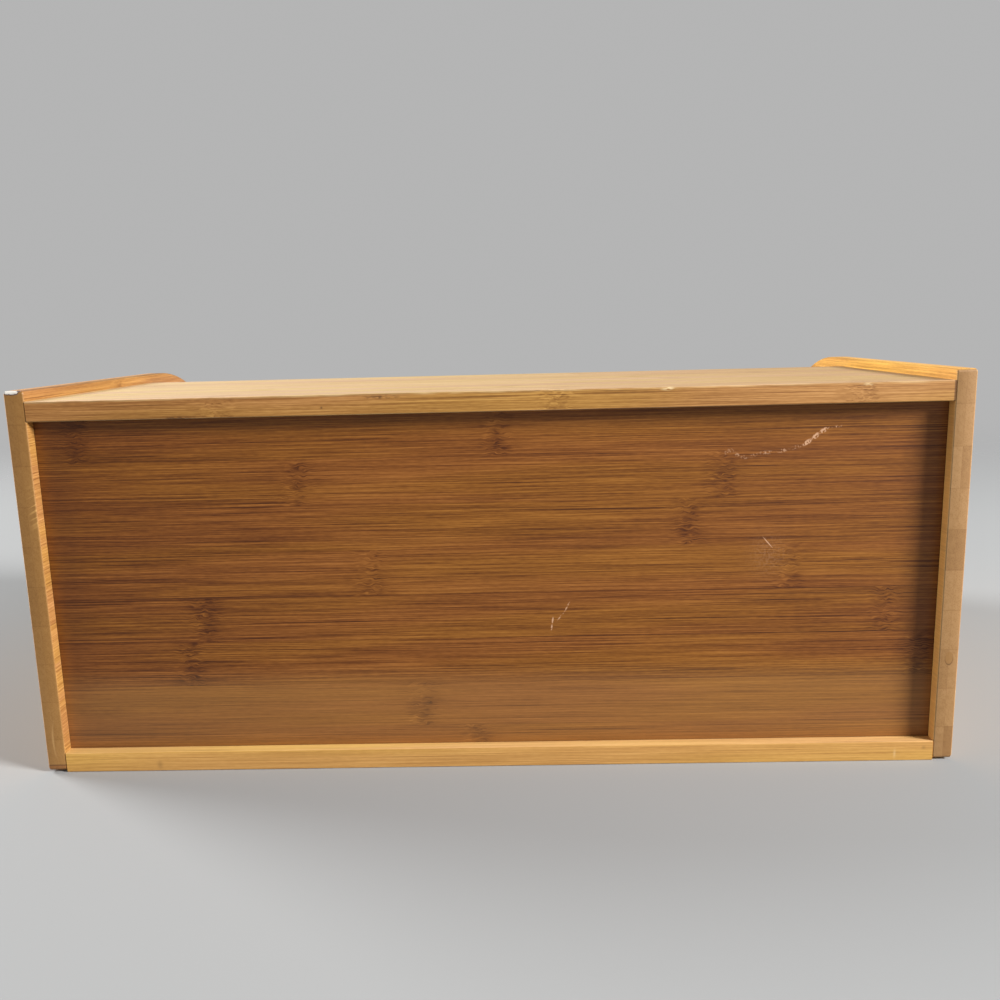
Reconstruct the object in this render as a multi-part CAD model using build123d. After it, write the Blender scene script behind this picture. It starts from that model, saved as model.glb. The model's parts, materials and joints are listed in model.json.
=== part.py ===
from build123d import *
from math import asin, atan2, ceil, cos, degrees, hypot, radians, sin
import os

# Bamboo roll-top bread box. Millimetres, +Z up, front towards -Y.
# The origin is the middle of the footprint, on the plane that the box stands on.

# Overall sizes
width = 400.0
depth = 275.0
height = 170.0

# Boards
side_thickness = 8.5
top_thickness = 8.5
bottom_thickness = 9.0
back_thickness = 4.5
side_lift = 0.8           # the side panels end this far above the underside of the box
top_drop = 4.5            # the side panels stand this far above the top board
top_depth = 137.0         # from the back edge to the front edge of the top board
back_recess = 5.5         # from the back edges in to the back panel
bottom_setback = 2.0      # from the front edges of the sides in to the bottom board
front_curve_radius = 125.0
corner_radius = 1.5
side_ease = 0.7
board_ease = 0.4
nosing_radius = 2.5

# Housing of the back panel in the boards round it
housing_depth = 3.0
housing_clearance = 0.25

# Tambour track, one arc routed in both side panels
front_land = 8.6          # wood between the track and the front edge
track_depth = 4.5
track_clearance = 0.5     # on each face of a tongue
track_end_margin = 1.5    # degrees of track past the last tongue

# Tambour
slat_pitch = 13.7
slat_gap = 0.3
slat_thickness = 5.5
slat_crown = 0.5
slat_edge_radius = 1.0
tongue_thickness = 4.0
tongue_chamfer = 0.5
tongue_end_clearance = 0.6
shoulder_clearance = 0.8
rail_width = 22.0
rail_thickness = 8.0
rail_edge_radius = 1.6
floor_gap = 0.5           # from the bottom board up to the lowest strip, shut or open
top_gap = 0.9             # from the slats' faces up to the top board
back_gap = 1.7            # from the slats' faces back to the back panel
stop_clearance = 1.0      # from the open rail to the front edge of the top board
top_overlap = 5.0         # degrees of slats behind that edge when the box is shut
canvas_thickness = 0.6
canvas_inset = 6.0        # from the side panels to the edges of the canvas
canvas_lap = 6.0          # down the rail from its upper edge

# Knob and its screw
knob_height = 20.0
knob_foot_radius = 8.0
knob_face_radius = 12.5
knob_face_chamfer = 1.2
knob_pilot_depth = 11.0
screw_shank_radius = 1.6
screw_point_chamfer = 1.1
screw_tip_gap = 1.0
screw_head_radius = 3.6
screw_head_height = 2.2
screw_head_chamfer = 0.8
screw_clearance = 0.05
screw_sink = 0.4          # from the rail's inner face in to the screw's head
driver_slot_width = 1.0
driver_slot_depth = 1.0

# Dowels
dowel_radius = 2.5
dowel_length = 20.0
dowel_in_side = 5.2
dowel_clearance = 0.1
top_dowel_count = 2       # in each end of the top board
bottom_dowel_count = 3    # in each end of the bottom board
dowel_inset = 24.0        # from the edges of a board to its outer dowels

# Places worked out from the sizes
back_y = depth / 2
front_y = -depth / 2
inner_x = width / 2 - side_thickness
top_high = height - top_drop
top_low = top_high - top_thickness
top_front_y = back_y - top_depth
bottom_front_y = front_y + bottom_setback
panel_back_y = back_y - back_recess
panel_front_y = panel_back_y - back_thickness
top_dowel_z = (top_high + top_low) / 2
bottom_dowel_z = bottom_thickness / 2

slat_proud = slat_thickness - tongue_thickness - track_clearance
track_outer = (panel_front_y - back_gap - slat_proud - front_y - front_land) / 2
track_y = front_y + front_land + track_outer
track_z = top_low - top_gap - slat_proud - track_outer
slat_inner = track_outer - track_clearance - tongue_thickness
slat_outer = slat_inner + slat_thickness
rail_outer = slat_inner + rail_thickness
track_inner = slat_inner - track_clearance
slat_width = slat_pitch - slat_gap
lowest_strip = bottom_thickness + floor_gap - track_z

# Angles are in degrees about the track's centre, from level at the front, up and over
# to the back. A strip's angle is that of its middle.
half_pitch = degrees(atan2(slat_pitch / 2, slat_inner))
half_rail = degrees(atan2((rail_width + slat_gap) / 2, slat_inner))


def floor_angle(strip_width, outer_face):
    """Where a strip at the front of the track has its lowest corner at the floor gap."""
    angles = []
    for face in (outer_face, slat_inner - canvas_thickness):
        reach = hypot(face, strip_width / 2)
        angles.append(degrees(asin(lowest_strip / reach) + atan2(strip_width / 2, face)))
    return max(angles)


def open_rail_angle():
    """Where the rail's outer upper corner comes up to the top board's front edge."""
    reach = hypot(rail_outer, rail_width / 2)
    edge = top_front_y - stop_clearance - track_y
    return degrees(asin(edge / reach) + atan2(rail_outer, rail_width / 2))


rail_angle = floor_angle(rail_width, rail_outer)
board_edge_angle = degrees(atan2(top_low - track_z, track_y - top_front_y))
covered = board_edge_angle + top_overlap - rail_angle - half_rail
slat_count = ceil(covered / (2 * half_pitch))


def slat_angle(number):
    """Angle of a slat of the shut tambour, numbered from 1 at the rail."""
    return rail_angle + half_rail + (2 * number - 1) * half_pitch


lowest_tail_angle = 180 - floor_angle(slat_width, slat_outer)
travel = min(open_rail_angle() - rail_angle, lowest_tail_angle - slat_angle(slat_count))
track_front = rail_angle - half_pitch - track_end_margin
track_back = slat_angle(slat_count) + half_pitch + travel + track_end_margin


def on_arc(radius, angle):
    """Y and Z of the point at this radius and angle about the track's centre."""
    turn = radians(angle)
    return (track_y - radius * cos(turn), track_z + radius * sin(turn))


def turned_to(angle):
    """Frame on the track's centre, turned so that its -Y axis points at this angle."""
    return Location((0, track_y, track_z)) * Rot(X=-angle)


def along_box(profile, length):
    """Extrude a profile of the YZ plane to this length, centred on X = 0."""
    return extrude(Plane.YZ * profile, amount=length / 2, both=True)


def edges_at(piece, axis, value):
    """Edges that lie wholly at one value of an axis."""
    return piece.edges().filter_by_position(axis, value - 0.01, value + 0.01)


def board(half_length, y_low, y_high, z_low, z_high):
    """A plain board, centred on X = 0."""
    middle = Pos(0, (y_low + y_high) / 2, (z_low + z_high) / 2)
    return middle * Box(2 * half_length, y_high - y_low, z_high - z_low)


def back_panel(margin=0.0):
    """The back panel, or the space housed for it with a margin on every side."""
    reach = housing_depth - housing_clearance + margin
    return board(
        inner_x + reach,
        panel_front_y - margin,
        panel_back_y + margin,
        bottom_thickness - reach,
        top_low + reach,
    )


# Dowels

def dowel_places(y_low, y_high, z, count):
    """Y and Z of the dowels in each end of a board."""
    first = y_low + dowel_inset
    step = (y_high - y_low - 2 * dowel_inset) / (count - 1)
    return [(first + number * step, z) for number in range(count)]


top_dowel_places = dowel_places(top_front_y, back_y, top_dowel_z, top_dowel_count)
bottom_dowel_places = dowel_places(bottom_front_y, back_y, bottom_dowel_z, bottom_dowel_count)


def dowels(places):
    """The dowels of one board."""
    pin = Rot(Y=90) * Cylinder(dowel_radius, dowel_length)
    x = inner_x + dowel_in_side - dowel_length / 2
    return [Pos(side * x, y, z) * pin for side in (-1, 1) for y, z in places]


def bored(piece):
    """A board or side panel with every dowel hole that it holds."""
    length = dowel_length + 2 * dowel_clearance
    hole = Rot(Y=90) * Cylinder(dowel_radius + dowel_clearance / 2, length)
    x = inner_x + dowel_in_side - dowel_length / 2
    for side in (-1, 1):
        for y, z in top_dowel_places + bottom_dowel_places:
            piece -= Pos(side * x, y, z) * hole
    return piece


# Carcass

def track_profile():
    """The arc-shaped track with round ends, as a router bit leaves it."""
    middle_angle = (track_front + track_back) / 2
    outline = ThreePointArc(
        on_arc(track_outer, track_front),
        on_arc(track_outer, middle_angle),
        on_arc(track_outer, track_back),
    )
    outline += Line(on_arc(track_outer, track_back), on_arc(track_inner, track_back))
    outline += ThreePointArc(
        on_arc(track_inner, track_back),
        on_arc(track_inner, middle_angle),
        on_arc(track_inner, track_front),
    )
    outline += Line(on_arc(track_inner, track_front), on_arc(track_outer, track_front))
    profile = make_face(outline)
    bit_radius = (track_outer - track_inner) / 2
    for angle in (track_front, track_back):
        profile += Pos(*on_arc(track_inner + bit_radius, angle)) * Circle(bit_radius)
    return profile


def side_outline():
    """Outline of a side panel: square at the back, quarter round at the front."""
    radius = min(front_curve_radius, height - side_lift - corner_radius)
    curve_z = height - radius
    curve_y = front_y + radius
    outline = Polyline(
        (front_y, curve_z),
        (front_y, side_lift),
        (back_y, side_lift),
        (back_y, height),
        (curve_y, height),
    )
    outline += CenterArc((curve_y, curve_z), radius, 90, 90)
    face = make_face(outline)
    corners = ((front_y, side_lift), (back_y, side_lift), (back_y, height))
    square = [face.vertices().sort_by_distance((y, z, 0))[0] for y, z in corners]
    return fillet(square, corner_radius)


def side_panel(side):
    """One side panel, side being -1 for the left and 1 for the right."""
    outer_plane = Plane.YZ.offset(side * width / 2)
    panel = extrude(outer_plane * side_outline(), amount=-side * side_thickness)
    for x in (width / 2, inner_x):
        panel = chamfer(edges_at(panel, Axis.X, side * x), side_ease)
    inner_plane = Plane.YZ.offset(side * inner_x)
    panel -= extrude(inner_plane * track_profile(), amount=side * track_depth)
    return bored(panel - back_panel(housing_clearance))


def fixed_board(y_front, z_low, z_high):
    """The top or bottom board, with a round nosing along its upper front edge."""
    piece = board(inner_x, y_front, back_y, z_low, z_high)
    front = edges_at(piece, Axis.Y, y_front).filter_by(Axis.X).sort_by(Axis.Z)
    piece = fillet(front[-1], nosing_radius)
    piece = chamfer(edges_at(piece, Axis.Y, back_y).filter_by(Axis.X), board_ease)
    return bored(piece - back_panel(housing_clearance))


# Tambour

def strip_section(size, thickness, crown, edge_radius):
    """Section of a strip at angle 0: flat towards the bread, crowned and eased outside."""
    half = size / 2
    face = -slat_inner - thickness
    outline = Polyline(
        (face + crown, -half), (-slat_inner, -half), (-slat_inner, half), (face + crown, half)
    )
    if crown > 0:
        outline += ThreePointArc((face + crown, half), (face, 0), (face + crown, -half))
    else:
        outline += Line((face, half), (face, -half))
    section = make_face(outline)
    return fillet(section.vertices().sort_by(Axis.X)[:2], edge_radius)


def strip(section):
    """A strip of this section, with the thin tongues that ride in the tracks."""
    body = along_box(section, 2 * (inner_x - shoulder_clearance))
    middle = -slat_inner - tongue_thickness / 2
    tongue_reach = inner_x + track_depth - tongue_end_clearance
    tongue = along_box(Pos(middle, 0) * Rectangle(tongue_thickness, slat_width), 2 * tongue_reach)
    return body + chamfer(tongue.edges().filter_by(Axis.X), tongue_chamfer)


def slat(number):
    """One slat of the shut tambour."""
    section = strip_section(slat_width, slat_thickness, slat_crown, slat_edge_radius)
    return turned_to(slat_angle(number)) * strip(section)


def knob_seat():
    """Frame on the middle of the rail's outer face, with Z pointing out of the box."""
    return turned_to(rail_angle) * Location((0, -rail_outer, 0)) * Rot(X=90)


def lead_rail():
    """The wide, thick strip at the front of the tambour, bored for the knob's screw."""
    section = strip_section(rail_width, rail_thickness, 0, rail_edge_radius)
    rail = turned_to(rail_angle) * strip(section)
    bore = Cylinder(screw_shank_radius + screw_clearance, 4 * rail_thickness)
    well_depth = screw_sink + screw_head_height
    well = Pos(0, 0, well_depth / 2 - rail_thickness) * Cylinder(
        screw_head_radius + screw_clearance, well_depth
    )
    return rail - knob_seat() * (bore + well)


def canvas_backing():
    """Cloth glued to the flat inner faces of the strips, creased at every gap."""
    spans = [(rail_angle, rail_width / 2 - canvas_lap, rail_width / 2)]
    for number in range(1, slat_count + 1):
        spans.append((slat_angle(number), -slat_width / 2, slat_width / 2))
    glued = []
    for angle, low, high in spans:
        for along in (low, high):
            glued.append((hypot(slat_inner, along), angle + degrees(atan2(along, slat_inner))))
    glued_side = [on_arc(radius, angle) for radius, angle in glued]
    free_side = [on_arc(radius - canvas_thickness, angle) for radius, angle in glued]
    section = make_face(Polyline(*glued_side, *reversed(free_side), close=True))
    return along_box(section, 2 * (inner_x - canvas_inset))


def knob():
    """Turned knob that widens towards its face, with a pilot hole for the screw."""
    turned = Cone(
        knob_foot_radius, knob_face_radius, knob_height, align=(Align.CENTER, Align.CENTER, Align.MIN)
    )
    turned = chamfer(turned.edges().sort_by(Axis.Z)[-1], knob_face_chamfer)
    pilot = Cylinder(screw_shank_radius + screw_clearance, 2 * knob_pilot_depth)
    return knob_seat() * (turned - pilot)


def knob_screw():
    """Slotted screw, driven from inside the box through the rail into the knob."""
    head_low = screw_sink - rail_thickness
    head_middle = head_low + screw_head_height / 2
    head = Pos(0, 0, head_middle) * Cylinder(screw_head_radius, screw_head_height)
    head = chamfer(head.edges().sort_by(Axis.Z)[0], screw_head_chamfer)
    tip = knob_pilot_depth - screw_tip_gap
    shank = Pos(0, 0, (head_middle + tip) / 2) * Cylinder(screw_shank_radius, tip - head_middle)
    shank = chamfer(shank.edges().sort_by(Axis.Z)[-1], screw_point_chamfer)
    slot = Pos(0, 0, head_low) * Box(
        4 * screw_head_radius, driver_slot_width, 2 * driver_slot_depth
    )
    return knob_seat() * (head + shank - slot)


def write(name, *solids):
    """Write the solids of one node to its STEP file."""
    whole = solids[0] if len(solids) == 1 else Compound(children=list(solids))
    whole.label = name
    export_step(whole, os.path.join("parts", name + ".step"))


def main():
    os.makedirs("parts", exist_ok=True)
    write("left_side_panel", side_panel(-1))
    write("right_side_panel", side_panel(1))
    write("top_board", fixed_board(top_front_y, top_low, top_high))
    write("bottom_board", fixed_board(bottom_front_y, 0, bottom_thickness))
    write("back_panel", back_panel())
    write("top_board_dowels", *dowels(top_dowel_places))
    write("bottom_board_dowels", *dowels(bottom_dowel_places))
    write("lead_rail", lead_rail())
    for number in range(1, slat_count + 1):
        write(f"slat_{number:02d}", slat(number))
    write("canvas_backing", canvas_backing())
    write("knob", knob())
    write("knob_screw", knob_screw())
    print("track centre y, z and outer radius", track_y, track_z, track_outer)
    print("slats", slat_count, "rail angle", rail_angle, "travel", travel)


main()
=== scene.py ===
import json
from math import atan2, cos, degrees, hypot, pi, radians, sin

import bpy
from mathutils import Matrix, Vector


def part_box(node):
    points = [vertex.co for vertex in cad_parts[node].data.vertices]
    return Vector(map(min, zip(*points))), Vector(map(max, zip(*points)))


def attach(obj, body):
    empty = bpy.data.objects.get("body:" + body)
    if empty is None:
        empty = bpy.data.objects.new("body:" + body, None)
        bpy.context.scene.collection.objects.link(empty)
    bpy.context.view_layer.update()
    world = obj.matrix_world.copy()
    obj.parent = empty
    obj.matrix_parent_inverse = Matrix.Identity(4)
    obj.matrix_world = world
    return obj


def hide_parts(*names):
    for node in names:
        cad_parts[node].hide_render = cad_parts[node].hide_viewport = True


# A bamboo roll-top bread box, seen from behind and a little above.
# Objects are in metres. Sizes on the surfaces of the box are in millimetres, as its maker
# would measure them, with X to the right as seen from the front and Z up from the worktop.

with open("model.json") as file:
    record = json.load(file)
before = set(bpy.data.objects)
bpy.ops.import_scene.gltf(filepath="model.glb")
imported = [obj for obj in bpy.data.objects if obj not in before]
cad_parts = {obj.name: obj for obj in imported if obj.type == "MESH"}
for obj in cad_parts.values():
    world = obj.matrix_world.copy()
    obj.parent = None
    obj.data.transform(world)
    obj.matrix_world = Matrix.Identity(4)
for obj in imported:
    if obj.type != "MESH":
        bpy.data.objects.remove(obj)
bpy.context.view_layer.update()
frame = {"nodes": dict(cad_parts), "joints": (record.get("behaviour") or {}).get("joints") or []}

MM = 0.001

# Places on the box, taken from the frame
box_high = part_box("right_side_panel")[1] / MM
board_low, board_high = (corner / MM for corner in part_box("top_board"))
panel_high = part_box("back_panel")[1] / MM
inner_x = board_high.x
side_thickness = box_high.x - inner_x
roll_axis = Vector(frame["joints"][0]["pos_m"]) / MM

# The tambour about that axis: radii in mm, and in degrees the place of the joint between the
# rail and the first slat and the turn from each joint to the next
TRACK_RADIUS = 124.35
SLAT_RADIUS = 125.0
CANVAS_RADIUS = 121.75
FIRST_JOINT = 1.79
JOINT_TURN = 6.409


# Shader maths

class Value:
    """A socket whose value Python's operators work on, each by adding a Math node."""

    def __init__(self, finish, socket):
        self.finish = finish
        self.socket = socket

    def math(self, operation, *others):
        sockets = dict(enumerate((self, *others)))
        return self.finish.node("ShaderNodeMath", {"operation": operation}, sockets)

    def output(self, name):
        """Another output of the same node."""
        return Value(self.finish, self.socket.node.outputs[name])

    def __add__(self, other):
        return self.math("ADD", other)

    def __radd__(self, other):
        return self + other

    def __sub__(self, other):
        return self.math("SUBTRACT", other)

    def __rsub__(self, other):
        return self * -1 + other

    def __mul__(self, other):
        return self.math("MULTIPLY", other)

    def __rmul__(self, other):
        return self * other

    def __truediv__(self, other):
        return self.math("DIVIDE", other)

    def __neg__(self):
        return self * -1

    def __abs__(self):
        return self.math("ABSOLUTE")

    def __gt__(self, other):
        return self.math("GREATER_THAN", other)

    def __lt__(self, other):
        return self.math("LESS_THAN", other)

    def floor(self):
        return self.math("FLOOR")

    def most(self, other):
        return self.math("MAXIMUM", other)

    def step(self, low, high):
        """0 at low, 1 at high and smooth between. low may be the higher of the two."""
        sockets = {"Value": self, "From Min": low, "From Max": high}
        return self.finish.node("ShaderNodeMapRange", {"interpolation_type": "SMOOTHSTEP"}, sockets)

    def bell(self, width):
        """1 at 0, falling on both sides and nearly 0 at twice the width."""
        share = self / width
        return (share * share * -1).math("EXPONENT")


class Finish:
    """The nodes of a material, or of the world."""

    def __init__(self, owner):
        self.owner = owner
        owner.use_nodes = True
        self.tree = owner.node_tree
        self.tree.nodes.clear()

    def node(self, kind, settings=None, sockets=None, output=0):
        """Add a node, set it up, fill or link its sockets and give back one output."""
        node = self.tree.nodes.new(kind)
        for name, value in (settings or {}).items():
            if name == "stops":
                set_stops(node.color_ramp, value)
            else:
                setattr(node, name, value)
        for name, value in (sockets or {}).items():
            if isinstance(value, Value):
                self.tree.links.new(value.socket, node.inputs[name])
            else:
                node.inputs[name].default_value = value
        return Value(self, node.outputs[output]) if node.outputs else None

    def join(self, x, y, z):
        return self.node("ShaderNodeCombineXYZ", None, {0: x, 1: y, 2: z})

    def split(self, vector):
        parts = self.node("ShaderNodeSeparateXYZ", None, {0: vector})
        return [parts.output(axis) for axis in "XYZ"]

    def place(self):
        """X, Y and Z on the box at rest, in millimetres."""
        point = self.node("ShaderNodeTexCoord", output="Object")
        in_mm = {0: point, "Scale": 1 / MM}
        return self.split(self.node("ShaderNodeVectorMath", {"operation": "SCALE"}, in_mm))

    def facing(self):
        """How squarely the surface faces X, Y and Z, each from 0 to 1."""
        normal = self.node("ShaderNodeTexCoord", output="Normal")
        return [abs(part) for part in self.split(normal)]

    def noise(self, where, size, detail=1.0, roughness=0.5):
        """Smooth noise about 0.5, with grains of this size along each axis."""
        grains = self.node("ShaderNodeVectorMath", {"operation": "DIVIDE"}, {0: where, 1: size})
        sockets = {"Vector": grains, "Scale": 1.0, "Detail": detail, "Roughness": roughness}
        return self.node("ShaderNodeTexNoise", None, sockets)

    def random(self, number, seed):
        """A random value from 0 to 1 for each whole number."""
        sockets = {"W": number + (seed + 0.5)}
        return self.node("ShaderNodeTexWhiteNoise", {"noise_dimensions": "1D"}, sockets)

    def mix(self, share, first, second, how="MIX"):
        """Two colours mixed, or the second laid on the first another way."""
        settings = {"data_type": "RGBA", "blend_type": how}
        return self.node("ShaderNodeMix", settings, {0: share, 6: first, 7: second}, output=2)

    def ramp(self, tone, stops):
        return self.node("ShaderNodeValToRGB", {"stops": stops}, {0: tone})

    def bumped(self, height, distance):
        """The normal of a surface raised by height times a distance in millimetres."""
        sockets = {"Height": height, "Distance": distance * MM, "Strength": 1.0}
        return self.node("ShaderNodeBump", None, sockets)

    def surface(self, **sockets):
        """End in a Principled shader with these sockets, and give back the material."""
        named = {name.replace("_", " "): value for name, value in sockets.items()}
        shader = self.node("ShaderNodeBsdfPrincipled", None, named)
        self.node("ShaderNodeOutputMaterial", None, {"Surface": shader})
        return self.owner


def set_stops(ramp, stops):
    while len(ramp.elements) < len(stops):
        ramp.elements.new(0.5)
    for element, (position, colour) in zip(ramp.elements, stops):
        element.position = position
        element.color = colour


def new_finish(name):
    return Finish(bpy.data.materials.new(name))


def srgb(red, green, blue):
    """The linear colour of one read off a picture, from 0 to 255."""
    return (*(((part / 255 + 0.055) / 1.055) ** 2.4 for part in (red, green, blue)), 1.0)


def by_number(number, values):
    """One of these values for each whole number from 0 on."""
    result = number * 0 + values[0]
    for index, (before, after) in enumerate(zip(values, values[1:])):
        result = result + (number > index + 0.5) * (after - before)
    return result


def nearer(first, second):
    """The smaller of two signed distances, with its sign."""
    closer = abs(first) < abs(second)
    return first * closer + second * (1 - closer)


def nearest(place, marks):
    """Signed distance from the nearest of these places."""
    gap = place - marks[0]
    for mark in marks[1:]:
        gap = nearer(gap, place - mark)
    return gap


def length(*parts):
    """Length of the vector with these parts."""
    squares = parts[0] * parts[0]
    for part in parts[1:]:
        squares = squares + part * part
    return squares.math("SQRT")


def spot(x, z, middle, size):
    """A soft mark, 1 in its middle, with about this half width and half height."""
    return (x - middle[0]).bell(size[0]) * (z - middle[1]).bell(size[1])


def from_roll_axis(y, z):
    """How far ahead of the tambour's axis and how far above it a place is."""
    return roll_axis.y - y, z - roll_axis.z


def roll_angle(ahead, up):
    """Angle about the tambour's axis in degrees, from level ahead upwards."""
    return up.math("ARCTAN2", ahead) * (180 / pi)


# Bamboo

STRIP_SHIFT = 61            # how far each strip's grain starts past its neighbour's, in mm
WAVER = 3.2                 # how far the fibres swerve round a node, in mm


class Bamboo:
    """Strips of bamboo glued side by side: the places along the fibres, across the strips and
    through the board, and the tone that grows from them."""

    def __init__(self, finish, along, across, through, strip, seam, node_gap):
        self.finish = finish
        self.seam = seam
        self.node_gap = node_gap
        start = along + strip * STRIP_SHIFT
        waver = finish.noise(finish.join(start, across, through), (4.5, 2.4, 2.4)) - 0.5
        across = across + waver * node_gap.bell(6.5) * WAVER
        self.here = finish.join(start, across, through)

    def fibres(self, long, wide, detail=0.0, roughness=0.5):
        """Smooth noise about 0.5, drawn out along the fibres."""
        return self.finish.noise(self.here, (long, wide, wide), detail, roughness)

    def knuckle(self):
        """A smudge with short strokes in it, pale on one side and dark on the other, where the cane
        had a joint; the pale and dark sides are partly painted highlight and shade that give the
        node an embossed look."""
        strokes = self.fibres(5.0, 1.2, 1.0)
        dark = strokes.step(0.52, 0.68) * (self.node_gap + 2).bell(4)
        pale = strokes.step(0.46, 0.32) * (self.node_gap - 3).bell(4)
        smudge = self.fibres(12, 7).step(0.3, 0.7) * self.node_gap.bell(8)
        return dark * 0.24 - pale * 0.2 + smudge * 0.17

    def tone(self, contrast=1.0, knuckles=1.0, seams=0.12, crowds=0.0):
        """How pale the wood is, about 0.5, from its broad streaks down to single fibres.
        crowds is where dark lines lie thicker than elsewhere."""
        streaks = self.fibres(150, 6.0, 1.0, 0.8) - 0.5
        fine = self.fibres(75, 0.8, 2.0, 1.0) - 0.5
        flecks = self.fibres(4.0, 0.5, 1.0) - 0.5
        crowd = self.fibres(260, 4.0).step(0.4, 0.7) * 0.24 + crowds
        lines = self.fibres(110, 0.6, 1.0, 0.8).step(0.56, 0.63) * (crowd + 0.1)
        gap = self.seam.step(0.45, 0.15) * self.fibres(60, 30).step(0.3, 0.6)
        grain = streaks * 0.28 + fine * 1.6 + flecks * 0.4 - lines + 0.06
        return grain * contrast + 0.5 - self.knuckle() * knuckles - gap * seams

    def colour(self, tone, middle, spread=1.0):
        """The tone's colour, which drifts between golden and reddish along the strips."""
        plain = self.finish.ramp(tone, wood_stops(*middle, spread))
        tint = self.finish.mix(self.fibres(120, 12).step(0.3, 0.7), REDDISH, GOLDEN)
        return self.finish.mix(1.0, plain, tint, "MULTIPLY")


def strips(across, start, pitch):
    """Which strip a place is on, and its distance from the nearer seam."""
    position = (across - start) / pitch
    number = position.floor()
    seam = (0.5 - abs(position - number - 0.5)) * pitch
    return number, seam


def scattered_nodes(finish, along, strip, spacing, seed):
    """Distance along each strip to the nearest of its nodes, which are this far apart."""
    position = along / spacing + finish.random(strip, seed)
    return (position - position.floor() - 0.5) * spacing


def end_grain(finish, across, through, strip, ply):
    """Tone of cut ends, about 0: dark fibre bundles in slanting rows on paler ground."""
    slant, row_height = radians(35), 0.62
    along_rows = across * cos(slant) + through * sin(slant)
    between_rows = through * cos(slant) - across * sin(slant)
    place = finish.join(along_rows, between_rows / row_height, strip * 5.1 + ply * 7.7)
    sockets = {"Vector": place, "Scale": 1.0, "Randomness": 0.7}
    bundle = finish.node("ShaderNodeTexVoronoi", {"voronoi_dimensions": "3D"}, sockets)
    cloud = finish.noise(place, (2.5, 2.5, 1.0), 1.0) - 0.5
    return cloud * 0.18 + 0.03 - bundle.step(0.5, 0.2) * 0.09


def wood_stops(red, green, blue, spread=1.0):
    """Colours about one in the middle, from the darkest fibre to the palest."""
    middle = srgb(red, green, blue)
    stops = []
    for position, shares in (
        (0.0, (0.28, 0.2, 0.12)),
        (0.25, (0.56, 0.47, 0.38)),
        (0.5, (1.0, 1.0, 1.0)),
        (0.75, (1.45, 1.6, 2.0)),
        (1.0, (1.9, 2.3, 3.4)),
    ):
        colour = [part * (1 + (share - 1) * spread) for part, share in zip(middle, shares)]
        stops.append((position, (*colour, 1.0)))
    return stops


CARAMEL = (128, 76, 25)     # middle colours of the panel and of plain wood, from 0 to 255
HONEY = (200, 146, 78)
GOLDEN = (1.03, 1.06, 0.92, 1.0)
REDDISH = (0.98, 0.94, 1.06, 1.0)

# Colours of wear and marks, and of painted shade, shadow, light and highlight
# Pale wear, also used as a painted highlight along arrises
CREAM_AND_HIGHLIGHT = srgb(240, 212, 160)
SCRATCHED = srgb(204, 158, 122)
FADED = srgb(188, 160, 113)
# A bright tan painted as light on a lit inner face
PAINTED_LIGHT_TAN = srgb(240, 178, 104)
# Dark grime of marks and joints, also used as painted shade and shadow
GRIME_AND_SHADE = srgb(70, 38, 18)
FILLER = srgb(152, 110, 60)
SAWN = srgb(206, 158, 92)
STREAKED = srgb(214, 170, 112)
FOOT = srgb(120, 60, 30)
# A dark bruise, also used as a painted shadow line
BRUISE_AND_SHADOW = srgb(84, 60, 56)
CHIPPED = srgb(218, 212, 202)

# Strips of the back panel from the bottom up: tone, and X of the nodes
BACK_STRIP_WIDTH = 20.1
LOWEST_STRIP_TOP = 17.55    # where the lowest one, mostly behind the bottom board, ends
OFF = 500                   # X of a node that isn't on the panel
BACK_STRIPS = [
    (0.05, 7.8, OFF),
    (0.095, 31.5, OFF),
    (0.0, 133.5, -185.0),
    (-0.01, 126.0, -169.5),
    (0.02, 52.0, -127.7),
    (-0.02, -84.5, OFF),
    (0.0, 81.5, -99.0),
    (-0.03, 175.0, -4.0),
]

# Scratches on the back panel: X, Z points in millimetres
FAINT_SCRATCH = [
    (-99.8, 136.1), (-101.3, 138.7), (-103.4, 137.1), (-106.1, 135.1), (-109.8, 135.0),
    (-113.5, 136.6), (-120.6, 136.9), (-126.8, 138.0), (-132.5, 139.6),
]
BRIGHT_SCRATCH = [(-132.0, 139.4), (-135.8, 142.0), (-139.0, 144.7), (-142.0, 146.5)]
TRAILING_SCRATCH = [(-141.4, 146.3), (-144.3, 146.8), (-148.5, 147.4)]
UPPER_SCRATCH = [(-34.2, 73.6), (-31.6, 68.6), (-28.5, 65.0)]
LOWER_SCRATCH = [(-26.8, 66.8), (-26.4, 63.6), (-25.9, 60.5)]
SIDE_SCRATCH = [(-116.4, 100.7), (-121.0, 95.4)]


def scratch(x, z, points, width):
    """A line of tapered strokes from point to point, 1 in the middle of each."""
    line = x * 0
    for (x_0, z_0), (x_1, z_1) in zip(points, points[1:]):
        half = hypot(x_1 - x_0, z_1 - z_0) / 2
        turn = atan2(z_1 - z_0, x_1 - x_0)
        across, up = x - (x_0 + x_1) / 2, z - (z_0 + z_1) / 2
        along = (across * cos(turn) + up * sin(turn)) / (half * 1.15)
        aside = (up * cos(turn) - across * sin(turn)) / (width / 2)
        line = line.most(1 - (along * along + aside * aside))
    return line


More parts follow.
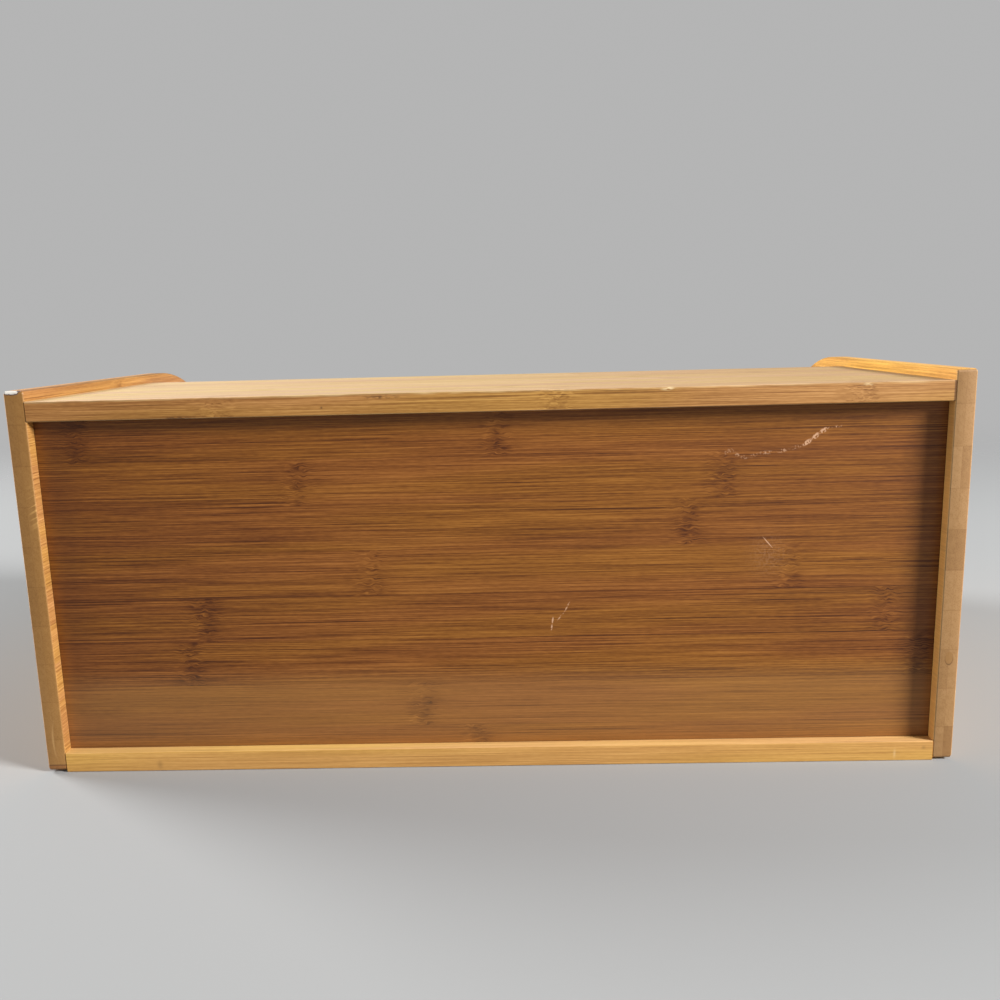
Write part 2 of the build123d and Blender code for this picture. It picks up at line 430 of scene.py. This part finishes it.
def back_panel_finish():
    """Dark caramel bamboo in eight strips, scratched in three places, with painted shade in the
    recess's corners and under the top board and a painted light gradient across it.
    """
    finish = new_finish("caramel_bamboo_panel")
    x, y, z = finish.place()
    strip, seam = strips(z, LOWEST_STRIP_TOP - BACK_STRIP_WIDTH, BACK_STRIP_WIDTH)
    tones, first_nodes, second_nodes = zip(*BACK_STRIPS)
    node_gap = nearer(x - by_number(strip, first_nodes), x - by_number(strip, second_nodes))
    wood = Bamboo(finish, x, z, y, strip, seam, node_gap)
    strong_seam = (z - 77.65).bell(0.9) * 0.2 + 0.12
    crowds = (z - 75).bell(3.5) * 0.12 + (z - 58.5).bell(2.0) * 0.12
    # Painted light and shade across the panel: darker towards the +X end, brighter again in the
    # last few millimetres by that side, and a little darker towards the −X end
    painted_light_across = x.step(40, 180) * 0.13 - x.step(184, 191) * 0.09 + x.step(-60, -190) * 0.04
    contrast = 1 - z.step(42, 34) * 0.35
    tone = wood.tone(contrast, 1.0, strong_seam, crowds) + by_number(strip, tones) - painted_light_across
    colour = wood.colour(tone, CARAMEL)
    colour = finish.mix(z.step(48, 34) * 0.1, colour, FADED)
    # Painted shade in the recess: darker near both side panels and under the top board
    corner = (inner_x - abs(x)).step(22, 4) * z.step(10, 60) * 0.3
    under_board_shade = (board_low.z - z).step(11, 1) * 0.25
    colour = finish.mix(corner.most(under_board_shade), colour, GRIME_AND_SHADE)

    crumbs = finish.noise(finish.join(x, y, z), (1.0, 1.0, 1.0), 1.0)
    faint = scratch(x, z, FAINT_SCRATCH, 2.2) * crumbs.step(0.4, 0.64) * 0.45
    bright = scratch(x, z, BRIGHT_SCRATCH, 2.3) * crumbs.step(0.37, 0.54) * 0.95
    trailing = scratch(x, z, TRAILING_SCRATCH, 1.2) * crumbs.step(0.45, 0.6) * 0.5
    upper = scratch(x, z, UPPER_SCRATCH, 0.8) * crumbs.step(0.35, 0.55) * 0.6
    lower = scratch(x, z, LOWER_SCRATCH, 0.9) * crumbs.step(0.25, 0.5) * 0.8
    thin = scratch(x, z, SIDE_SCRATCH, 0.6) * 0.7
    worn = faint.most(bright).most(trailing).most(upper).most(lower).most(thin)
    rubbed = spot(x, z, (-119, 93), (7, 8)) * crumbs.step(0.35, 0.7) * 0.16
    colour = finish.mix(worn.step(0.0, 0.7).most(rubbed), colour, SCRATCHED)

    relief = finish.bumped(tone - worn * 0.3, 0.04)
    return finish.surface(
        Base_Color=colour, Roughness=0.52 - tone * 0.1, Normal=relief, Specular_IOR_Level=0.3
    )


BOARD_STRIP_WIDTH = 17.8
SIDE_STRIP_WIDTH = 17.53
SIDE_TOP_STRIP = 14.1       # height of a side's highest strip, which was sawn narrower
SKIN = 0.6                  # how deep a mark on a board's edge goes


def board(name, colours, nodes, seed, contrast, lean=(0, 0)):
    """The top or bottom board: fibres along X, in strips laid side by side in Y. colours are those
    of its flat faces and of its edges, and lean is a painted light gradient: how much paler each
    gets per millimetre to the right."""
    finish = new_finish(name)
    x, y, z = finish.place()
    strip, seam = strips(y, board_high.y - 8 * BOARD_STRIP_WIDTH, BOARD_STRIP_WIDTH)
    back_strip = y > board_high.y - BOARD_STRIP_WIDTH
    scattered = scattered_nodes(finish, x, strip, 310, seed)
    node_gap = nearest(x, nodes) * back_strip + scattered * (1 - back_strip)
    wood = Bamboo(finish, x, y, z, strip, seam + back_strip, node_gap)
    flat = finish.facing()[2].step(0.5, 0.9)
    grain = wood.tone(contrast, 0.7) + (finish.random(strip, seed + 20) - 0.5) * 0.06
    # Painted light: the flat faces grow paler towards +X and the edges towards −X
    paler = x * (flat * (lean[0] - lean[1]) + lean[1])
    tone = (grain - 0.5) * (1 - flat * 0.3) + 0.5 + paler
    face, edge = (wood.colour(tone, colour, 0.8) for colour in colours)
    colour = finish.mix(flat, edge, face)
    return finish, (x, y, z), colour, tone


def varnished(finish, colour, tone):
    return finish.surface(
        Base_Color=colour, Roughness=0.57 - tone * 0.1, Normal=finish.bumped(tone, 0.03),
        Specular_IOR_Level=0.35, Coat_Weight=0.07, Coat_Roughness=0.5,
    )


def top_board_finish():
    """The top board, with a pale upper arris that is partly rubbed and partly painted highlight,
    some old knocks along its back edge, a painted shadow line where it meets the left side, and
    painted light along it.
    """
    # The lean here is painted light along the board
    colours, lean = ((193, 157, 107), (168, 118, 57)), (0.0008, -0.0005)
    nodes = [112, -28.5, -153]
    finish, (x, y, z), colour, tone = board("honey_bamboo_top", colours, nodes, 3, 0.9, lean)
    arris = (board_high.y - y).most(board_high.z - z)
    crumbs = finish.noise(finish.join(x, y, z), (2.5, 0.9, 0.9), 1.0)
    patchy = finish.noise(finish.join(x, y, z), (14, 3, 3), 2.0).step(0.4, 0.65)
    # A pale line along the upper arris: partly rubbed wear, partly painted highlight; the chips are
    # wear
    rubbed = arris.step(1.1, 0.4) * (patchy * 0.25 + 0.08)
    chips = (x + 75).bell(2.5) + (x + 156).bell(2) * 0.6
    chips = chips * arris.step(1.8, 0.9) * crumbs.step(0.4, 0.6)
    colour = finish.mix(rubbed.most(chips), colour, CREAM_AND_HIGHLIGHT)
    speck = spot(x, z, (67.7, 160.2), (0.45, 0.45))
    smears = spot(x, z, (43, 164.0), (7, 0.7)) * crumbs.step(0.45, 0.6)
    worn = spot(x, z, (128, 157.2), (6, 0.8)) * crumbs.step(0.35, 0.55)
    # Painted shadow: a dark line at the end by the left side, where a gap between board and side
    # would be in shade; the speck, smears and worn spot are real marks
    joint = (x + inner_x).step(0.9, 0.3)
    marks = speck.most(smears).most(worn).most(joint)
    back = (y > board_high.y - SKIN) * 0.75
    colour = finish.mix(marks * back, colour, GRIME_AND_SHADE)
    return varnished(finish, colour, tone)


def bottom_board_finish():
    """The bottom board: smoother, with a few ticks in its back edge."""
    # The flat faces' colour is paler than the edges' as painted light on the ledge in the recess
    colours = (216, 172, 104), (201, 151, 77)
    finish, (x, y, z), colour, tone = board("honey_bamboo_floor", colours, [236, -236], 8, 0.45)
    back = y > board_high.y - SKIN
    dark_ticks = spot(x, z, (149.4, 3.0), (1.2, 1.8)) + spot(x, z, (-187.5, 6.0), (0.8, 0.8))
    colour = finish.mix(dark_ticks * back * 0.3, colour, GRIME_AND_SHADE)
    pale_tick = spot(x, z, (-175, 3.4), (0.5, 1.8))
    colour = finish.mix(pale_tick * back * 0.35, colour, CREAM_AND_HIGHLIGHT)
    return varnished(finish, colour, tone)


def side(name, colours, cells, seed):
    """A side panel: two plies, fibres along Y, in strips stacked in Z. colours are those of
    the inner ply's long grain, of the outer face and of the cut ends, and cells the tones of
    the cut ends, from the top down, in the outer ply and the inner one."""
    finish = new_finish(name)
    x, y, z = finish.place()
    first = SIDE_TOP_STRIP - SIDE_STRIP_WIDTH - box_high.z
    strip, seam = strips(-z, first, SIDE_STRIP_WIDTH)
    ply = abs(x) < inner_x + side_thickness / 2
    piece = strip + ply * 20
    wood = Bamboo(finish, y, z, x, piece, seam, scattered_nodes(finish, y, piece, 290, seed))
    long_tone = wood.tone(0.7, 0.8) + (finish.random(piece, seed + 20) - 0.5) * 0.12
    outer, inner = (by_number(strip, tones) for tones in cells)
    ply_seam = abs(abs(x) - inner_x - side_thickness / 2)
    glue = seam.step(0.4, 0.05).most(ply_seam.step(0.3, 0.05) * 0.5) * 0.09
    cut_tone = end_grain(finish, z, x, strip, ply) + outer * (1 - ply) + inner * ply - glue
    cut = finish.facing()[1].step(0.45, 0.75)
    tone = cut_tone * cut + long_tone * (1 - cut)
    inner_face, outer_face, edge = (
        wood.colour(long_tone, colour, 0.8) for colour in (colours[0], colours[1], HONEY)
    )
    outside = finish.facing()[0].step(0.5, 0.9) * (abs(x) > box_high.x - SKIN / 2)
    long_face = finish.mix(outside, finish.mix(ply, edge, inner_face), outer_face)
    cut_face = finish.ramp(cut_tone, wood_stops(*colours[2], 0.8))
    colour = finish.mix(cut, long_face, cut_face)

    # Darker inside the tambour's groove
    off_track = length(*from_roll_axis(y, z)) - TRACK_RADIUS
    groove_darkening = off_track.bell(3.5) * (abs(x) - inner_x).step(0.3, 1.0)
    colour = finish.mix(groove_darkening * (abs(x) < inner_x + 5) * 0.35, colour, GRIME_AND_SHADE)
    return finish, (x, y, z), cut, colour, tone


def left_side_finish():
    """The left side, with a patch of filler and fine chevrons in its back edge; its inner ply's and
    outer face's colours, its face in the recess and its back arrises carry painted light, shade and
    highlight.
    """
    outer = [0.5, 0.54, 0.45, 0.54, 0.42, 0.53, 0.54, 0.53, 0.54, 0.38]
    inner = [0.48, 0.51, 0.57, 0.53, 0.43, 0.55, 0.54, 0.47, 0.52, 0.54]
    # The inner ply's colour is bright as painted light on its lit inner faces, and the outer face's
    # is darker as painted shade against the window lamp
    colours = (216, 159, 69), (172, 124, 67), (160, 119, 72)
    finish, (x, y, z), cut, colour, tone = side("honey_bamboo_left", colours, (outer, inner), 11)
    back = cut * (y > 0)
    patch_x, patch_z, half_width, half_height = -195.9, 46.8, 1.85, 3.1
    aside, up = (x - patch_x) / half_width, (z - patch_z) / half_height
    round_patch = length(aside, up)
    patch = round_patch.step(1.05, 0.9) * back
    rim = patch * round_patch.step(0.7, 1.0) * (0.35 - up * 0.5)
    colour = finish.mix(patch * 0.75, colour, FILLER)
    colour = finish.mix(rim, colour, GRIME_AND_SHADE)
    chevron_x, chevron_pitch, chevron_top = -193.6, 1.15, 13
    slope = (z - abs(x - chevron_x) * 1.3) * (2 * pi / chevron_pitch)
    chevrons = slope.math("SINE").step(0.2, 1.0) * (z < chevron_top) * (x > -195.7) * back
    colour = finish.mix(chevrons * 0.16, colour, GRIME_AND_SHADE)
    # Painted light: the inner face in the recess is laid over with a bright tan, and painted shade
    # darkens it towards the top under the top board
    recess = (1 - cut) * (y > panel_high.y) * (z < board_low.z) * (abs(x) < inner_x + 1)
    colour = finish.mix(recess * 0.7, colour, PAINTED_LIGHT_TAN)
    colour = finish.mix(recess * z.step(110, 150) * 0.35, colour, GRIME_AND_SHADE)
    # Painted shade on the outer back arris, against the window lamp's glow on it
    arris = (box_high.x + box_high.y - abs(x) - y).step(0.9, 0.2)
    colour = finish.mix(arris * 0.45, colour, GRIME_AND_SHADE)
    # Painted highlight along the inner back arris
    inner_arris_highlight = (abs(x) - inner_x + box_high.y - y).step(0.9, 0.2)
    colour = finish.mix(inner_arris_highlight * 0.4, colour, CREAM_AND_HIGHLIGHT)
    return varnished(finish, colour, tone)


def right_side_finish():
    """The right side, more olive, with saw marks, a foot strip and a chipped white corner with a
    painted shadow line under it.
    """
    outer = [0.5, 0.48, 0.52, 0.5, 0.5, 0.48, 0.53, 0.56, 0.57, 0.57]
    inner = [0.5, 0.5, 0.54, 0.52, 0.53, 0.5, 0.53, 0.54, 0.56, 0.57]
    colours = (165, 116, 60), HONEY, (147, 104, 51)
    finish, (x, y, z), cut, colour, tone = side("honey_bamboo_right", colours, (outer, inner), 14)
    back = cut * (y > 0)
    hatch = finish.noise(finish.join(x, y, z + x * 0.5), (9, 9, 0.9)).step(0.52, 0.68)
    hatched = hatch * (z - 119).bell(9) * x.step(inner_x + 4.6, inner_x + 1.5) * back
    colour = finish.mix(hatched * 0.5, colour, SAWN)
    streak_z = z - 15
    bow = streak_z / 9
    streak = (x - 196.4 + bow * bow).bell(0.4) * streak_z.bell(7) * back
    colour = finish.mix(streak * 0.4, colour, STREAKED)
    strip_top = 3.5
    colour = finish.mix((z < strip_top) * back * 0.4, colour, FOOT)
    colour = finish.mix((z - strip_top).bell(0.25) * back * 0.8, colour, GRIME_AND_SHADE)

    aside, down, out = (x - 196.8) / 3.6, (z - box_high.z) / 1.6, (y - box_high.y) / 2.6
    crumbs = finish.noise(finish.join(x, y, z), (1.1, 1.1, 1.1), 1.0) * 0.7
    chip = length(aside, down, out) + crumbs
    colour = finish.mix(chip.step(1.55, 1.4), colour, BRUISE_AND_SHADOW)
    colour = finish.mix(chip.step(1.3, 1.15), colour, CHIPPED)
    # Painted shadow: a dark dash under the chipped corner
    dash = spot(x, z, (194.9, 168.7), (0.9, 0.3)) * back
    colour = finish.mix(dash * 0.8, colour, BRUISE_AND_SHADOW)
    return varnished(finish, colour, tone)


def tambour_finish(seed):
    """Slats and rail: each one strip of bamboo, fibres along X, stacked round the track."""
    finish = new_finish("tambour_bamboo_strips")
    x, y, z = finish.place()
    ahead, up = from_roll_axis(y, z)
    angle, radius = roll_angle(ahead, up), length(ahead, up)
    strip = strips(angle, FIRST_JOINT, JOINT_TURN)[0].most(-1)
    node_gap = scattered_nodes(finish, x, strip, 420, seed)
    round_way = angle * radians(SLAT_RADIUS)
    wood = Bamboo(finish, x, round_way, radius, strip, radius, node_gap)
    tone = wood.tone(0.9, 0.8) + (finish.random(strip, seed + 20) - 0.5) * 0.16
    return varnished(finish, wood.colour(tone, HONEY, 0.8), tone)


def knob_finish():
    finish = new_finish("knob_bamboo")
    x, y, z = finish.place()
    strip, seam = strips(x, -4.0, 8.0)
    wood = Bamboo(finish, y, x, z, strip, seam, y * 0 + OFF)
    cut = finish.facing()[1].step(0.6, 0.85)
    cut_tone = end_grain(finish, x, z, strip, strip * 0) + 0.5
    tone = cut_tone * cut + wood.tone(0.9) * (1 - cut)
    return varnished(finish, wood.colour(tone, HONEY, 0.8), tone)


def canvas_finish():
    """Unbleached plain-weave canvas: warp and weft cross over and under each other, with painted
    shade in the creases at the slat joints.
    """
    finish = new_finish("canvas_weave")
    x, y, z = finish.place()
    angle = roll_angle(*from_roll_axis(y, z))
    round_way = angle * radians(CANVAS_RADIUS)
    # Painted shade: a faint darker line in the crease at each slat joint, which also dents the
    # relief
    joint = strips(angle, FIRST_JOINT, JOINT_TURN)[1].step(0.3, 0.05) * (angle > 0)
    pitch = 0.9       # from thread to thread, in mm
    warp = (x * (pi / pitch)).math("SINE")
    weft = (round_way * (pi / pitch)).math("SINE")
    over = warp * weft
    slubs = finish.noise(finish.join(x, round_way, z), (22, 0.9, 0.9), 1.0) - 0.5
    tone = over * 0.16 + slubs * 0.5 + 0.55 - joint * 0.2
    stops = [(0.0, srgb(164, 146, 112)), (0.6, srgb(216, 202, 170)), (1.0, srgb(234, 224, 198))]
    colour, relief = finish.ramp(tone, stops), finish.bumped(over - joint, 0.12)
    return finish.surface(
        Base_Color=colour, Roughness=0.9, Normal=relief,
        Specular_IOR_Level=0.2, Sheen_Weight=0.1, Sheen_Roughness=0.5,
    )


def dowel_finish():
    finish = new_finish("dowel_birch")
    x, y, z = finish.place()
    wood = finish.noise(finish.join(x, y, z), (20, 0.5, 0.5), 2.0)
    colour = finish.ramp(wood, [(0.2, srgb(190, 156, 108)), (0.8, srgb(228, 202, 158))])
    return finish.surface(Base_Color=colour, Roughness=0.6)


def steel_finish():
    finish = new_finish("screw_steel")
    x, y, z = finish.place()
    brushed = finish.noise(finish.join(x, y, z), (0.1, 0.8, 0.1), 2.0)
    colour = finish.ramp(brushed, [(0.2, srgb(150, 150, 152)), (0.8, srgb(205, 205, 205))])
    return finish.surface(Base_Color=colour, Metallic=1.0, Roughness=0.3 + brushed * 0.2)


# Pieces carried over from the frame

def soft_arrises():
    """Geometry nodes that weld a node's faces together and shade them smoothly, all but the
    edges sharper than a chamfer's."""
    tree = bpy.data.node_groups.new("soft_arrises", "GeometryNodeTree")
    tree.interface.new_socket("Geometry", in_out="INPUT", socket_type="NodeSocketGeometry")
    tree.interface.new_socket("Geometry", in_out="OUTPUT", socket_type="NodeSocketGeometry")
    start = tree.nodes.new("NodeGroupInput")
    weld = tree.nodes.new("GeometryNodeMergeByDistance")
    weld.inputs["Distance"].default_value = 0.002 * MM
    drop = tree.nodes.new("GeometryNodeRemoveAttribute")
    drop.inputs["Name"].default_value = "custom_normal"
    faces = tree.nodes.new("GeometryNodeSetShadeSmooth")
    faces.domain = "FACE"
    edges = tree.nodes.new("GeometryNodeSetShadeSmooth")
    edges.domain = "EDGE"
    edges.inputs["Shade Smooth"].default_value = False
    angle = tree.nodes.new("GeometryNodeInputMeshEdgeAngle")
    sharp = tree.nodes.new("ShaderNodeMath")
    sharp.operation = "GREATER_THAN"
    sharp.inputs[1].default_value = radians(50)
    end = tree.nodes.new("NodeGroupOutput")
    for before, after in ((start, weld), (weld, drop), (drop, faces), (faces, edges), (edges, end)):
        tree.links.new(before.outputs[0], after.inputs[0])
    tree.links.new(angle.outputs[0], sharp.inputs[0])
    tree.links.new(sharp.outputs[0], edges.inputs["Selection"])
    return tree


def dress(names, material, tree):
    for name in names:
        node = frame["nodes"][name]
        node.data.materials.clear()
        node.data.materials.append(material)
        node.modifiers.new("soft_arrises", "NODES").node_group = tree
        node.modifiers.new("flat_faces", "WEIGHTED_NORMAL").keep_sharp = True


slats = sorted(name for name in frame["nodes"] if name.startswith("slat_"))
soft = soft_arrises()
dress(["back_panel"], back_panel_finish(), soft)
dress(["top_board"], top_board_finish(), soft)
dress(["bottom_board"], bottom_board_finish(), soft)
dress(["left_side_panel"], left_side_finish(), soft)
dress(["right_side_panel"], right_side_finish(), soft)
dress(slats + ["lead_rail"], tambour_finish(31), soft)
dress(["knob"], knob_finish(), soft)
dress(["top_board_dowels", "bottom_board_dowels"], dowel_finish(), soft)
dress(["knob_screw"], steel_finish(), soft)


# Canvas

def strip_place(name):
    """Angle of a strip about the roll axis in degrees, and how far out its inner face is."""
    points = [vertex.co / MM - roll_axis for vertex in frame["nodes"][name].data.vertices]
    angles = [degrees(atan2(point.z, -point.y)) for point in points]
    middle = (min(angles) + max(angles)) / 2
    out = Vector((0, -cos(radians(middle)), sin(radians(middle))))
    return middle, min(point.dot(out) for point in points)


# Rows of the canvas across a slat and across the rail, from its middle, in mm
SLAT_ROWS = [share * 6.7 for share in (-0.97, -0.6, -0.2, 0.2, 0.6, 0.97)]
RAIL_ROWS = [share * 11.0 for share in (-0.5, -0.2, 0.1, 0.4, 0.7, 0.97)]


def canvas_section(thickness, gap):
    """Y and Z of the canvas's two faces, row by row, from the rail to the last slat."""
    glued, free = [], []
    for name in ["lead_rail"] + slats:
        middle, face = strip_place(name)
        turn = radians(middle)
        for along in RAIL_ROWS if name == "lead_rail" else SLAT_ROWS:
            for rows, out in ((glued, face - gap), (free, face - gap - thickness)):
                y = -out * cos(turn) + along * sin(turn)
                z = out * sin(turn) + along * cos(turn)
                rows.append((roll_axis.y + y, roll_axis.z + z))
    return glued, free


def canvas():
    """The cloth that hinges the slats, raw-edged and stretched flat on their inner faces."""
    low, high = (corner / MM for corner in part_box("canvas_backing"))
    columns, fray = 96, 0.4
    glued, free = canvas_section(thickness=0.5, gap=0.06)
    rows = glued + free[::-1]
    places, faces = [], []
    for column in range(columns + 1):
        share = column / columns
        for row, (y, z) in enumerate(rows):
            x = low.x + fray + (high.x - low.x - 2 * fray) * share
            if column in (0, columns):
                x += 0.3 * sin(row * 1.9) + 0.1 * sin(row * 4.3)
            places.append((x * MM, y * MM, z * MM))
    count = len(rows)
    for column in range(columns):
        for row in range(count):
            a, b = column * count + row, column * count + (row + 1) % count
            faces.append((a, b, b + count, a + count))
    half = count // 2
    for row in range(half - 1):
        a, b, c, d = row, row + 1, count - 2 - row, count - 1 - row
        faces.append((d, c, b, a))
        last = columns * count
        faces.append((a + last, b + last, c + last, d + last))
    mesh = bpy.data.meshes.new("canvas")
    mesh.from_pydata(places, [], faces)
    mesh.shade_smooth()
    mesh.materials.append(canvas_finish())
    piece = bpy.data.objects.new("canvas", mesh)
    bpy.context.scene.collection.objects.link(piece)
    way_round = sum(hypot(b[0] - a[0], b[1] - a[1]) for a, b in zip(glued, glued[1:]))
    return piece, ((high.x - low.x) * MM, way_round * MM)


cloth, cloth_flat = canvas()
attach(cloth, "tambour")
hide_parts("canvas_backing")


# Studio

PALE = srgb(160, 161, 161)


def floor():
    """A pale floor that fades into the backdrop."""
    finish = new_finish("pale_floor")
    away = length(*finish.place()[:2])
    matt = {"Base Color": PALE, "Roughness": 0.85, "Specular IOR Level": 0.1}
    solid = finish.node("ShaderNodeBsdfPrincipled", None, matt)
    clear = finish.node("ShaderNodeBsdfTransparent")
    shader = finish.node("ShaderNodeMixShader", None, {0: away.step(500, 1500), 1: solid, 2: clear})
    finish.node("ShaderNodeOutputMaterial", None, {"Surface": shader})
    reach = 4.0
    corners = [(-reach, -reach, 0), (reach, -reach, 0), (reach, reach, 0), (-reach, reach, 0)]
    mesh = bpy.data.meshes.new("floor")
    mesh.from_pydata(corners, [], [(0, 1, 2, 3)])
    mesh.materials.append(finish.owner)
    piece = bpy.data.objects.new("floor", mesh)
    bpy.context.scene.collection.objects.link(piece)


def backdrop():
    """An even world, which fills in shadows weakly and is seen as a paler backdrop."""
    fill, seen = 0.21, 0.46
    finish = Finish(bpy.data.worlds.new("studio"))
    path = finish.node("ShaderNodeLightPath", output="Is Camera Ray")
    looked_at = path.most(path.output("Is Glossy Ray")).most(path.output("Is Transmission Ray"))
    strength = looked_at * (seen - fill) + fill
    sky = finish.node("ShaderNodeBackground", None, {"Color": (1, 1, 1, 1), "Strength": strength})
    finish.node("ShaderNodeOutputWorld", None, {"Surface": sky})
    bpy.context.scene.world = finish.owner


def soft_light(name, place, aim, size, power):
    """A round lamp at a place, pointed at another: metres and watts."""
    lamp = bpy.data.lights.new(name, "AREA")
    lamp.shape = "DISK"
    lamp.size = size
    lamp.energy = power
    light = bpy.data.objects.new(name, lamp)
    light.location = place
    light.rotation_euler = (Vector(aim) - Vector(place)).to_track_quat("-Z", "Y").to_euler()
    bpy.context.scene.collection.objects.link(light)


def camera():
    lens = bpy.data.cameras.new("camera")
    lens.lens = 33.25
    view = bpy.data.objects.new("camera", lens)
    view.location = (-0.01413, 0.51788, 0.19079)
    view.rotation_euler = [radians(turn) for turn in (79.443, 1.414, -178.905)]
    bpy.context.scene.collection.objects.link(view)
    bpy.context.scene.camera = view


floor()
backdrop()
soft_light("window", (-2.0, 0.93, 1.08), (0, 0.1, 0.08), 0.7, 112)
soft_light("room", (1.95, -0.75, 1.2), (0, 0, 0.08), 1.0, 62)
soft_light("bounce", (2.2, 0.45, 0.35), (0, 0.13, 0.08), 0.5, 9)
camera()
bpy.context.scene.view_settings.view_transform = "Standard"
